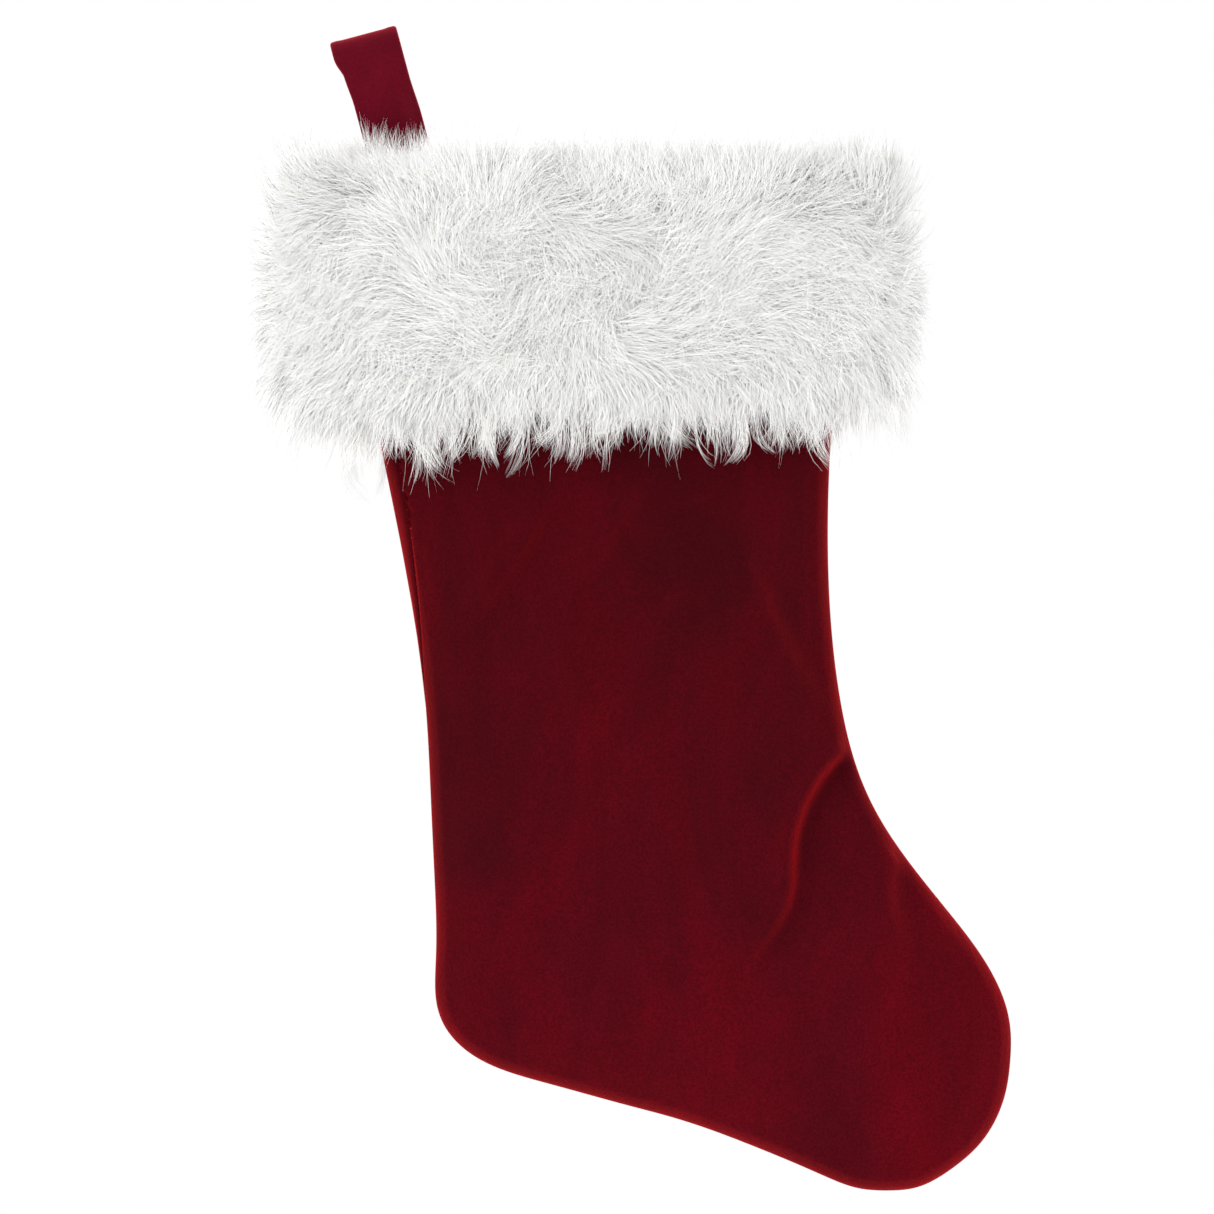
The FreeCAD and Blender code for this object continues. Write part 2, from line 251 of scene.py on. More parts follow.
def velvet_material(name, deep, lit, sheen, grain_share, leg_share, seed):
    """Cut-pile velvet: a dark nap with soft brush marks and a red sheen at glancing angles.

    deep and lit are the nap's darkest and brightest tones, grain_share says how strongly single tufts
    show, and leg_share is the share of the foot's tone that the leg keeps: the velvet is darker up the leg.
    """
    m = Nodes(name, Roughness=0.8, Sheen_Weight=0.60, Sheen_Roughness=0.58,
              Sheen_Tint=(*sheen, 1), Specular_IOR_Level=0.03)
    nap = m.noise(14.0 + seed, 4.0, 0.6, (1, 1, 0.5), 0.8)
    speckle = m.noise(900.0, 2.0, 0.7)
    strokes = m.noise(34.0 + seed, 3.0, 0.55, (1, 1, 0.35), 1.4)
    marks = m.ramp(strokes, [(0.36, grey(0.84)), (0.62, grey(1))])
    # the velvet's tone is made darker up the leg than at the foot, by height alone
    darker_up_leg = m.ramp(m.height(*TONE_TURN_HEIGHTS), [(0.0, grey(1)), (1.0, grey(leg_share))])
    tone = m.blend(1.0, m.ramp(nap, [(0.32, deep), (0.70, lit)]), darker_up_leg, "MULTIPLY")
    tone = m.blend(1.0, tone, marks, "MULTIPLY")
    grain = m.ramp(speckle, [(0.34, grey(0.42)), (0.68, grey(1))])
    m.set("Base Color", m.blend(grain_share, tone, grain, "MULTIPLY"))
    pile = m.bump(speckle, 0.5, 0.0005)
    m.set("Normal", m.bump(nap, 0.6, 0.004, pile))
    return m.material


def satin_material(name, colour):
    """Smooth woven lining with fine yarns across it."""
    m = Nodes(name, Roughness=0.38, Sheen_Weight=0.15, Specular_IOR_Level=0.45)
    yarn = m.noise(1600.0, 1.0, 0.5, (1, 1, 0.12))
    cloud = m.noise(25.0, 2.0)
    dark = tuple(c * 0.72 for c in colour)
    m.set("Base Color", m.blend(m.ramp(yarn, [(0.35, grey(0)), (0.65, grey(0.35))]),
                                m.ramp(cloud, [(0.3, dark), (0.7, colour)]), (*colour, 1)))
    m.set("Normal", m.bump(yarn, 0.2, 0.0003))
    return m.material


def knit_material(name, colour):
    """Knitted backing: fine vertical ribs of stitches."""
    m = Nodes(name, Roughness=0.9, Sheen_Weight=0.3, Sheen_Roughness=0.5, Specular_IOR_Level=0.1)
    rib = m.noise(1100.0, 2.0, 0.6, (1, 1, 0.3))
    cloud = m.noise(40.0, 3.0)
    shade = tuple(c * 0.86 for c in colour)
    m.set("Base Color", m.ramp(cloud, [(0.25, shade), (0.75, colour)]))
    m.set("Normal", m.bump(rib, 0.5, 0.0006))
    return m.material


def thread_material(name, colour):
    """Two-ply sewing thread, its twist shown by a fine diagonal band."""
    m = Nodes(name, Roughness=0.7, Sheen_Weight=0.2, Specular_IOR_Level=0.25)
    ply = m.noise(2400.0, 1.0, 0.5, (1, 0.4, 1))
    dark = tuple(c * 0.6 for c in colour)
    m.set("Base Color", m.ramp(ply, [(0.3, dark), (0.7, colour)]))
    m.set("Normal", m.bump(ply, 0.6, 0.0002))
    return m.material


def pile_material(name, colour, roughness):
    """One tone of the acrylic fibres; strands mix several of them from root to tip, with a creamier painted
    shade at the roots and a painted highlight at the tips.
    """
    return Nodes(name, Base_Color=(*colour, 1), Roughness=roughness, Sheen_Weight=0.35,
                 Sheen_Roughness=0.5, Sheen_Tint=(1, 1, 1, 1), Specular_IOR_Level=0.2).material


VELVET = velvet_material("velvet", deep=(0.041, 0.0016, 0.0068), lit=(0.110, 0.0008, 0.0066),
                         sheen=(1.0, 0.022, 0.020), grain_share=0.9, leg_share=0.70, seed=0)
LOOP_VELVET = velvet_material("loop_velvet", deep=(0.078, 0.001, 0.008), lit=(0.112, 0.0014, 0.011),
                              sheen=(1.0, 0.07, 0.09), grain_share=0.45, leg_share=1.0, seed=3)
LINING = satin_material("satin_lining", (0.36, 0.015, 0.03))
KNIT = knit_material("knit_backing", (0.88, 0.87, 0.83))
RED_THREAD = thread_material("red_thread", (0.22, 0.008, 0.016))
WHITE_THREAD = thread_material("white_thread", (0.85, 0.84, 0.80))
PILE = [
    # the first tone is a creamier painted shade at the strands' roots, deep in the pile; the last is one of
    # the strands' own tones and also a painted highlight at every tip
    pile_material("pile_root_painted_shade", (0.95, 0.96, 0.90), 0.8),
    pile_material("pile_ivory", (0.965, 0.968, 0.93), 0.65),
    pile_material("pile_white", (0.975, 0.975, 0.96), 0.6),
    pile_material("pile_bright_and_tip_highlight", grey(0.985), 0.5),
]
UNDERFUR = knit_material("underfur", (0.95, 0.955, 0.93))


# ---- velvet panels and lining

EDGE_RADIUS = 14 * MM  # how far in from the silhouette the rolled edge reaches
EDGE_DEPTH = 10.5 * MM  # depth of the rolled edge beside the seam plane
CROWN_DEPTH = 6.5 * MM  # how much further the middle of a panel stands out
CROWN_REACH = 45 * MM
RIM = 5.2 * MM  # width of the finely meshed rim beside the silhouette
RIM_RINGS = 13
RING_CROWDING = 1.35  # how much closer the rim's rings stand beside the seam
SEAM_TUCK = 1.3 * MM  # how far the seam is drawn in between the two panels
TUCK_REACH = 2.4 * MM
SEAM_SPACING = 2.0 * MM
MESH_SPACING = 2.0 * MM
WRAP_WIDTH = 6.2 * MM  # how far the back panel wraps to the front, high on the heel side
WRAP_TOP = MOUTH_Z - 121 * MM
WRAP_END = MOUTH_Z - 226 * MM
LINING_GAP = 2.2 * MM
VELVET_THICKNESS, SATIN_THICKNESS = 1.1 * MM, 0.4 * MM
MOUTH_FULLNESS = 0.70  # share of the full depth that the leg has at the mouth
FULL_BELOW = 0.16  # how far under the mouth the leg has its full depth
WAVES = ((1.3, 0.075), (0.5, 0.03))  # height in mm and size in metres of the cloth's soft waves
DEPTH_PASSES = 30  # rounds of smoothing where the rolled edge goes over into the middle


def silhouette(node, levels=300, passes=20):
    """Seam path of a CAD panel in (x, z): down its heel side, round the toe and up the toe side."""
    mesh = frame["nodes"][node].data
    points = np.array([v.co for v in mesh.vertices])
    ends = np.array([e.vertices for e in mesh.edges])
    first, second = points[ends[:, 0]], points[ends[:, 1]]
    heights = np.linspace(points[:, 2].max() - 1e-5, points[:, 2].min() + 1e-5, levels)
    heel_side, toe_side = [], []
    for z in heights:
        crossing = (first[:, 2] - z) * (second[:, 2] - z) < 0
        a, b = first[crossing], second[crossing]
        x = a[:, 0] + (b[:, 0] - a[:, 0]) * (z - a[:, 2]) / (b[:, 2] - a[:, 2])
        heel_side.append((x.min(), z))
        toe_side.append((x.max(), z))
    path = np.array(heel_side + toe_side[::-1])
    return resample(smoothed(resample(path, SEAM_SPACING), passes), SEAM_SPACING)


SEAM = silhouette("shell_front")
SEAM_ALONG = unit(np.gradient(smoothed(SEAM, 4), axis=0))
SEAM_OUT = np.stack([SEAM_ALONG[:, 1], -SEAM_ALONG[:, 0]], -1)
HEEL_SIDE = np.arange(len(SEAM)) < len(SEAM) // 3
WRAP_SHARE = smoothstep(WRAP_END, WRAP_TOP, SEAM[:, 1]) * HEEL_SIDE


def inside(points, polygon):
    """True for each point inside a closed polygon, both in (x, z)."""
    x, z = points[:, 0], points[:, 1]
    result = np.zeros(len(points), bool)
    for (x1, z1), (x2, z2) in zip(polygon, np.roll(polygon, -1, axis=0)):
        if z1 != z2:
            result ^= ((z1 > z) != (z2 > z)) & (x < x1 + (x2 - x1) * (z - z1) / (z2 - z1))
    return result


def nearest(points, centres):
    """Distance from each point to the nearest of the centres, and that centre's index."""
    tree = KDTree(len(centres))
    for index, centre in enumerate(centres):
        tree.insert(centre, index)
    tree.balance()
    found = [tree.find(p) for p in points]
    return np.array([f[2] for f in found]), np.array([f[1] for f in found])


def nearest_on(points, path):
    """The same for points in (x, z) and the points of a path."""
    return nearest(np.insert(points, 1, 0, axis=1), np.insert(path, 1, 0, axis=1))


def panel_middle():
    """Triangulated middle of a panel: (x, z) points, the first of them along the rim's inner edge."""
    rim = SEAM - SEAM_OUT * RIM
    mouth_line = resample(np.array([rim[-1], rim[0]]), MESH_SPACING)[1:-1]
    border = np.concatenate([rim, mouth_line])
    low, high = border.min(0), border.max(0)
    rows = np.arange(low[1], high[1], MESH_SPACING * math.sqrt(0.75))
    lines = []
    for index, z in enumerate(rows):
        x = np.arange(low[0] + (index % 2) * MESH_SPACING / 2, high[0], MESH_SPACING)
        lines.append(np.column_stack([x, np.full(len(x), z)]))
    grid = np.concatenate(lines)
    grid = grid[inside(grid, border)]
    clear = nearest_on(grid, border)[0] > 0.6 * MESH_SPACING
    points = np.concatenate([border, grid[clear]])
    loop = [(k, (k + 1) % len(border)) for k in range(len(border))]
    found = delaunay_2d_cdt([Vector(p) for p in points], loop, [], 0, 1e-7)
    points = np.array([v[:] for v in found[0]])
    triangles = np.array(found[2])
    return points, triangles[inside(points[triangles].mean(1), border)]


MIDDLE, MIDDLE_FACES = panel_middle()
MIDDLE_GAP = nearest_on(MIDDLE, resample(SEAM, 0.5 * MM))[0]


def spot(across, down):
    """Point in (x, z) at a share across and down the velvet's box."""
    return np.array([SHELL_LOW[0] + across * (SHELL_HIGH[0] - SHELL_LOW[0]),
                     SHELL_HIGH[2] + down * (SHELL_LOW[2] - SHELL_HIGH[2])])


class Fold:
    """A fold along a path given in shares of the velvet's box.

    height lifts the cloth along the path, over a half width to each side.  drop lets it down in a step
    on the right of the path, as seen from the front, from where it recovers over the recovery width, all
    in mm.  The fold fades in and out over two shares of its length.
    """

    def __init__(self, path, height, half_width, drop, recovery, fade_in, fade_out):
        corners = np.array([spot(*p) for p in path])
        self.line = resample(smoothed(resample(corners, 3 * MM), 8), 1.5 * MM)
        self.height, self.half_width = height * MM, half_width * MM
        self.drop, self.recovery = drop * MM, recovery * MM
        self.fade_in, self.fade_out = fade_in, fade_out

    def lift(self, points):
        """How far the fold lifts the cloth at (x, z) points."""
        index, distance = nearest_on(points, self.line)[::-1]
        tangent = unit(np.gradient(self.line, axis=0))[index]
        offset = points - self.line[index]
        right = offset[:, 1] * tangent[:, 0] - offset[:, 0] * tangent[:, 1]
        signed = distance * np.where(right > 0, 1, -1)
        along = index / (len(self.line) - 1)
        strength = smoothstep(0, self.fade_in, along) * (1 - smoothstep(1 - self.fade_out, 1, along))
        crest = self.height * np.exp(-((signed + 0.3 * self.half_width) / self.half_width) ** 2)
        step = 0.5 + 0.5 * np.tanh((signed / self.half_width - 0.2) * 3)
        hollow = self.drop * step * np.exp(-np.maximum(signed, 0) / self.recovery)
        return strength * (crest - hollow)


FRONT_FOLDS = [
    Fold([(0.779, 0.554), (0.754, 0.563), (0.728, 0.577), (0.704, 0.603), (0.682, 0.640), (0.677, 0.680),
          (0.679, 0.706), (0.653, 0.739), (0.606, 0.779), (0.583, 0.812)], 3.4, 6, 10.5, 12, 0.04, 0.55),
    Fold([(0.846, 0.650), (0.834, 0.673), (0.820, 0.692), (0.824, 0.719), (0.839, 0.746), (0.853, 0.775)],
         2.6, 9, 5.0, 9, 0.2, 0.5),
    Fold([(0.905, 0.690), (0.893, 0.740), (0.895, 0.800)], 0.8, 9, 0.0, 9, 0.3, 0.5),
    Fold([(0.600, 0.330), (0.630, 0.400), (0.680, 0.470), (0.740, 0.530)], 2.4, 10, 3.4, 14, 0.3, 0.3),
    Fold([(0.345, 0.285), (0.300, 0.350), (0.235, 0.415), (0.165, 0.465)], 2.4, 8, 3.6, 14, 0.3, 0.4),
    Fold([(0.480, 0.270), (0.410, 0.355), (0.330, 0.430)], 2.0, 9, 2.6, 16, 0.3, 0.4),
    Fold([(0.250, 0.560), (0.300, 0.660), (0.400, 0.740)], 0.7, 18, 0.0, 16, 0.3, 0.4),
    Fold([(0.560, 0.760), (0.600, 0.840), (0.680, 0.900)], 0.8, 13, 0.0, 16, 0.3, 0.4),
]
BACK_FOLDS = [
    Fold([(0.778, 0.535), (0.735, 0.580), (0.690, 0.640), (0.650, 0.720), (0.600, 0.790)], 1.5, 8, 3.6, 12,
         0.06, 0.5),
    Fold([(0.860, 0.640), (0.820, 0.700), (0.800, 0.780)], 1.0, 10, 0.8, 12, 0.25, 0.5),
    Fold([(0.250, 0.280), (0.330, 0.420), (0.380, 0.560)], 1.0, 13, 0.9, 16, 0.3, 0.4),
    Fold([(0.520, 0.300), (0.560, 0.430), (0.560, 0.560)], 1.0, 13, 0.9, 16, 0.3, 0.4),
]


def fullness(z):
    """Share of the full depth at a height: the leg is flatter near the mouth."""
    return MOUTH_FULLNESS + (1 - MOUTH_FULLNESS) * smoothstep(MOUTH_Z, MOUTH_Z - FULL_BELOW, z)


def bulge(gap, z):
    """How far a panel stands off the seam plane at a distance in from the silhouette."""
    rolled = EDGE_DEPTH * np.sqrt(1 - (1 - np.minimum(gap, EDGE_RADIUS) / EDGE_RADIUS) ** 2)
    return fullness(z) * (rolled + CROWN_DEPTH * (1 - np.exp(-gap / CROWN_REACH)))


def relax(values, faces, count, fixed):
    """Average values over a triangle mesh's neighbours, leaving the first fixed ones alone."""
    pairs = np.concatenate([faces[:, [0, 1]], faces[:, [1, 2]], faces[:, [2, 0]]])
    pairs = np.concatenate([pairs, pairs[:, ::-1]])
    degree = np.maximum(np.bincount(pairs[:, 0], minlength=len(values)), 1)
    result = values.copy()
    for _ in range(count):
        average = np.bincount(pairs[:, 0], result[pairs[:, 1]], minlength=len(values)) / degree
        result[fixed:] = average[fixed:]
    return result


def relief(points, gap, side, folds, seed):
    """Waves and folds of a panel at (x, z) points a distance gap in from the silhouette."""
    space = np.column_stack([points[:, 0], np.full(len(points), side * 0.1), points[:, 1]])
    waves = sum(height * field(space, size, seed + k) for k, (height, size) in enumerate(WAVES))
    folded = sum(fold.lift(points) for fold in folds)
    return smoothstep(RIM, 3 * RIM, gap) * waves * MM + smoothstep(0, 1.6 * RIM, gap) * folded


def panel_shape(side, folds, seed, wrap):
    """Rim rings and middle of one panel as (x, y, z) rows.  side is -1 for the front, 1 for the back.

    wrap is the share, at each point of the seam, by which the seam moves round to the front.
    """
    start = -side * np.arccos(1 - WRAP_WIDTH * wrap / EDGE_RADIUS)
    last = math.acos(1 - RIM / EDGE_RADIUS)
    rings = []
    for ring in range(RIM_RINGS + 1):
        share = (ring / RIM_RINGS) ** RING_CROWDING
        angle = start + (last - start) * share
        walked = EDGE_RADIUS * (angle - start)
        tuck = SEAM_TUCK * (1 - np.minimum(walked, TUCK_REACH) / TUCK_REACH) ** 2
        gap = EDGE_RADIUS * (1 - np.cos(angle))
        inward = gap + tuck * (1 - wrap)
        flat = SEAM - SEAM_OUT * inward[:, None]
        depth = np.sign(angle + 1e-9) * bulge(gap, SEAM[:, 1])
        depth += side * tuck * wrap * 1.3
        depth += relief(flat, gap * (angle > 0), side, folds, seed)
        rings.append(np.column_stack([flat[:, 0], SEAM_Y + side * depth, flat[:, 1]]))
    border = len(SEAM)
    depth = bulge(MIDDLE_GAP, MIDDLE[:, 1])
    depth[:border] = bulge(np.full(border, RIM), SEAM[:, 1])
    depth = relax(depth, MIDDLE_FACES, DEPTH_PASSES, border)
    depth += relief(MIDDLE, MIDDLE_GAP, side, folds, seed)
    middle = np.column_stack([MIDDLE[:, 0], SEAM_Y + side * depth, MIDDLE[:, 1]])
    middle[:border] = rings[-1]
    return np.concatenate([*rings[:-1], middle])


def panel_faces(side):
    """Quads of the rim and triangles of the middle, all facing outwards."""
    strips = grid_faces(RIM_RINGS + 1, len(SEAM))
    centre = MIDDLE_FACES + RIM_RINGS * len(SEAM)
    a, b, c = (MIDDLE[MIDDLE_FACES[:, k]] for k in range(3))
    turn = np.sum((b - a)[:, 0] * (c - a)[:, 1] - (b - a)[:, 1] * (c - a)[:, 0])
    if turn * side > 0:
        centre = centre[:, ::-1]
    return [strips if side < 0 else strips[:, ::-1], centre]


def vertex_normals(points, faces):
    """Unit normals averaged over the faces round each vertex."""
    total = np.zeros_like(points)
    for group in faces:
        a, b, c = points[group[:, 0]], points[group[:, 1]], points[group[:, 2]]
        normal = np.cross(b - a, c - a)
        for k in range(group.shape[1]):
            np.add.at(total, group[:, k], normal)
    return unit(total)


def finish_cloth(piece, node, thickness):
    """Thickness and body of a leg panel, whose CAD part it hides."""
    add_thickness(piece, thickness)
    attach(piece, "stocking")
    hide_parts(node)


def make_leg():
    """Velvet panel and satin lining of each side.  Returns the two rows of points beside each one's seam."""
    edges = {}
    for name, side, folds, seed in (("front", -1, FRONT_FOLDS, 1), ("back", 1, BACK_FOLDS, 5)):
        faces = panel_faces(side)
        points = panel_shape(side, folds, seed, WRAP_SHARE)
        velvet = add_piece("velvet_" + name, points, faces, [VELVET])
        finish_cloth(velvet, "shell_" + name, VELVET_THICKNESS)
        plain = panel_shape(side, folds, seed, 0 * WRAP_SHARE)
        within = plain - vertex_normals(plain, faces) * LINING_GAP
        satin = add_piece("satin_" + name, within, faces, [LINING])
        finish_cloth(satin, "lining_" + name, SATIN_THICKNESS)
        edges[name] = (points[:len(SEAM)], points[len(SEAM):2 * len(SEAM)])
        edges["satin_" + name] = (within[:len(SEAM)], within[len(SEAM):2 * len(SEAM)])
    return edges


PANEL_EDGES = make_leg()


# ---- cuff: backing and pile

CUFF_CENTRE = (FACING_LOW[0] + FACING_HIGH[0]) / 2
CUFF_HALF = (FACING_HIGH[0] - FACING_LOW[0]) / 2
CUFF_DEPTH = SEAM_Y - FACING_LOW[1]
CUFF_HEIGHT = MOUTH_Z - HEM_Z
MOUTH_CENTRE = (SEAM[0, 0] + SEAM[-1, 0]) / 2
MOUTH_HALF = (SEAM[-1, 0] - SEAM[0, 0]) / 2 + 3 * MM
MOUTH_DEPTH = 14.8 * MM
SHOULDER = 10 * MM  # height over which the cuff widens from the mouth to its full size
CROWN_RISE = 1.5 * MM  # how far the backing stands over the mouth
TOE_LIFT = 0.05  # share by which the hem rises at the cuff's end on the toe side
HEEL_DROP = 0.08  # share by which it hangs lower beside the heel side's end
STAND_OFF = np.array([24.0, 22.0]) * MM  # furthest that the pile stands off the backing in x and y


def cuff_surface(theta, drop, grow=0.0):
    """Point on the cuff's backing at an angle round it and a drop below its top edge, grown by grow."""
    across = np.cos(theta)
    dropped = smoothstep(0.35, 0.65, -across) * (1 - smoothstep(0.80, 1.0, -across))
    lift = TOE_LIFT * smoothstep(0.70, 1.0, across) - HEEL_DROP * dropped
    z = MOUTH_Z + CROWN_RISE - drop * (1 - lift)
    share = np.sqrt(smoothstep(0, SHOULDER, drop))
    half = MOUTH_HALF + (CUFF_HALF - MOUTH_HALF) * share + grow
    deep = MOUTH_DEPTH + (CUFF_DEPTH - MOUTH_DEPTH) * share + grow
    centre = MOUTH_CENTRE + (CUFF_CENTRE - MOUTH_CENTRE) * share
    return np.stack([centre + half * np.cos(theta), SEAM_Y + deep * np.sin(theta), z], -1)


def cuff_normal(theta, drop):
    """Outward direction of the backing, from small steps round it and down it."""
    step = 1e-4
    around = cuff_surface(theta + step, drop) - cuff_surface(theta - step, drop)
    downward = cuff_surface(theta, drop + step) - cuff_surface(theta, drop - step)
    return unit(np.cross(downward, around))


FULL_DROP = CUFF_HEIGHT + CROWN_RISE
ALL_ROUND = np.linspace(0, 2 * math.pi, 4000)
RIM_LENGTH = np.concatenate([[0], np.cumsum(np.linalg.norm(np.diff(
    cuff_surface(ALL_ROUND, np.full(len(ALL_ROUND), FULL_DROP)), axis=0), axis=1))])
CUFF_GIRTH = RIM_LENGTH[-1]
RING_HALVES = {"back": (0.0, 0.5), "front": (0.5, 1.0)}
FACING_GROW, FACING_THICKNESS = -0.6 * MM, 0.5 * MM
BACKING_GROW, BACKING_THICKNESS = 0.6 * MM, 0.9 * MM
UNDERFUR_LOW, UNDERFUR_HIGH = 1.2 * MM, 6.2 * MM  # its thickness along the edges and elsewhere
UNDERFUR_LUMPS = 3.0 * MM


def angle_at(share):
    """Angle round the cuff at a share of its girth."""
    return np.interp(share * CUFF_GIRTH, RIM_LENGTH, ALL_ROUND)


def cuff_sheet(name, half, grow, material, lumps=0.0, columns=150, rows=44):
    """Half of a ring round the cuff, off it by grow: a number, or a function of the share of the drop."""
    theta, drop = np.meshgrid(angle_at(np.linspace(*RING_HALVES[half], columns)),
                              np.linspace(0, FULL_DROP, rows))
    theta, drop = theta.ravel(), drop.ravel()
    grow = grow(drop / FULL_DROP) if callable(grow) else grow
    points = cuff_surface(theta, drop, grow)
    if lumps:
        thick = np.clip(grow / (8 * MM), 0, 1) * lumps
        waves = 0.6 * field(points, 0.016, 31) + 0.4 * field(points, 0.007, 32)
        points += cuff_normal(theta, drop) * (thick * waves)[:, None]
    return add_piece(name, points, grid_faces(rows, columns), [material])


def make_cuff_cloth(kind, label, material, grow, thickness):
    """Front and back half of the cuff's lining or of the fur fabric's knitted backing."""
    halves = {}
    for half in RING_HALVES:
        piece = cuff_sheet("%s_%s" % (label, half), half, grow, material)
        add_thickness(piece, thickness)
        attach(piece, "stocking")
        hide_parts("cuff_%s_%s" % (kind, half))
        halves[half] = piece
    return halves


def underfur_depth(share):
    """Thickness of the dense short underfur at a share of the way from the mouth to the hem."""
    inner = smoothstep(0.0, 0.14, share) * (1 - smoothstep(0.86, 1.0, share))
    return UNDERFUR_LOW + (UNDERFUR_HIGH - UNDERFUR_LOW) * inner


STRAND_STEPS = 6  # straight steps along one strand
PILE_SPLIT = 15000  # most strands in one piece
PILE_COUNT, DRAFT_COUNT = 120000, 45000
HEM_SHARE, HEM_BAND = 0.03, 9 * MM  # strands set extra in a band along the hem
TOP_SHARE, TOP_BAND = 0.11, 8 * MM  # the same along the top edge
COARSE_LOCK, FINE_LOCK = 260, 15  # strands in one large and one small lock
PILE_LENGTH = (25, 34)  # shortest and longest strand in mm
STRAND_WIDTH = (0.24, 0.38)  # thinnest and thickest strand in mm
GUARD_SHARE, GUARD_EXTRA = 0.08, 1.20  # long guard hairs, and how much longer they are
FILLER_SHARE, FILLER_LENGTH = 0.11, 0.72  # upright hairs that fill partings, and how long they are
STRAY_SHARE, STRAY_TURN = 0.28, 1.7  # locks that lie across the others, and their largest turn
LOOP_GAP, LOOP_LENGTH = 17 * MM, 0.72  # how near before the loop strands are cut short, and to what share
SIDE_SPREAD = 0.75  # how far the pile lies away from the middle of each face
FALL, HEM_FALL, TOP_RISE = 0.35, 1.6, 0.85  # how far it lies down, more along the hem, and up at the top
WIDE_SWIRL, FINE_SWIRL = (0.70, 0.075, 41), (0.28, 0.030, 42)  # strength, size in metres and seed
SOFTNESS = 0.93  # share of the cuff's own direction in the shading of its strands


def sample_roots(count):
    """Random roots over the cuff's backing, denser along its top edge and its hem."""
    theta = angle_at(rng.random(count))
    drop = FULL_DROP * rng.random(count)
    hem, top = int(count * HEM_SHARE), int(count * TOP_SHARE)
    drop[:hem] = FULL_DROP - HEM_BAND * rng.random(hem)
    drop[hem:hem + top] = TOP_BAND * rng.random(top) ** 2
    return theta, drop


def swirl(points, strength, scale, seed):
    """Flow in (x, z) that turns round and round without sources, with whorls about scale metres across."""
    share = 0.08
    run, rise = np.array([share * scale, 0, 0]), np.array([0, 0, share * scale])
    along_x = field(points + rise, scale, seed) - field(points - rise, scale, seed)
    along_z = field(points - run, scale, seed) - field(points + run, scale, seed)
    return strength * along_x / (2 * share), strength * along_z / (2 * share)


def pile_lie(root, outward, drop):
    """Direction along the backing in which the pile lies; the longer it is, the flatter the pile."""
    share = drop / FULL_DROP
    across = (root[:, 0] - CUFF_CENTRE) / CUFF_HALF
    hem, crown = smoothstep(0.70, 1.0, share), 1 - smoothstep(0.0, 0.50, share)
    (wide_x, wide_z), (fine_x, fine_z) = swirl(root, *WIDE_SWIRL), swirl(root, *FINE_SWIRL)
    calm = 1 - 0.75 * hem
    x = SIDE_SPREAD * across * (1 - 0.8 * hem) + calm * (wide_x + fine_x)
    z = -FALL + calm * (wide_z + fine_z) - HEM_FALL * hem + TOP_RISE * crown
    lie = np.column_stack([x, np.zeros(len(root)), z])
    return lie - outward * np.sum(lie * outward, axis=1)[:, None]


def locks_of(root, size):
    """For each strand the leader of the lock that it belongs to, with about size strands to a lock."""
    count = len(root)
    leaders = rng.choice(count, max(1, int(count / size)), replace=False)
    return leaders[nearest(root, root[leaders])[1]]


def bunch(line, leader, pull):
    """Draw strands towards the leader of their lock, more and more towards the tips."""
    steps = np.linspace(0, 1, line.shape[1])
    kept = 1 - pull[:, None] * steps[None] ** 1.4
    return line[leader] + (line - line[leader]) * kept[..., None]


def strand_lines(root, outward, lie, length, rise, lean):
    """Centre lines of strands that bend from rise to lean off the outward direction."""
    count = len(root)
    steps = np.linspace(0, 1, STRAND_STEPS + 1)
    flatness = np.linalg.norm(lie, axis=1)
    lean = rise + (lean - rise) * (0.86 + 0.14 * smoothstep(0, 0.8, flatness))
    turn = rise[:, None] + (lean - rise)[:, None] * steps[None] ** 0.8
    middle = (turn[:, 1:] + turn[:, :-1]) / 2
    wobble = unit(lie + rng.normal(0, 0.20, (count, 3)))
    hook = rng.normal(0, 0.35, count)[:, None] * (steps[1:] ** 2)[None]
    sideways = np.cross(outward, lie)
    pieces = outward[:, None] * np.cos(middle)[..., None] + wobble[:, None] * np.sin(middle)[..., None]
    pieces = unit(pieces + sideways[:, None] * hook[..., None])
    pieces *= (length / STRAND_STEPS)[:, None, None]
    return np.concatenate([np.zeros((count, 1, 3)), np.cumsum(pieces, axis=1)], axis=1) + root[:, None]


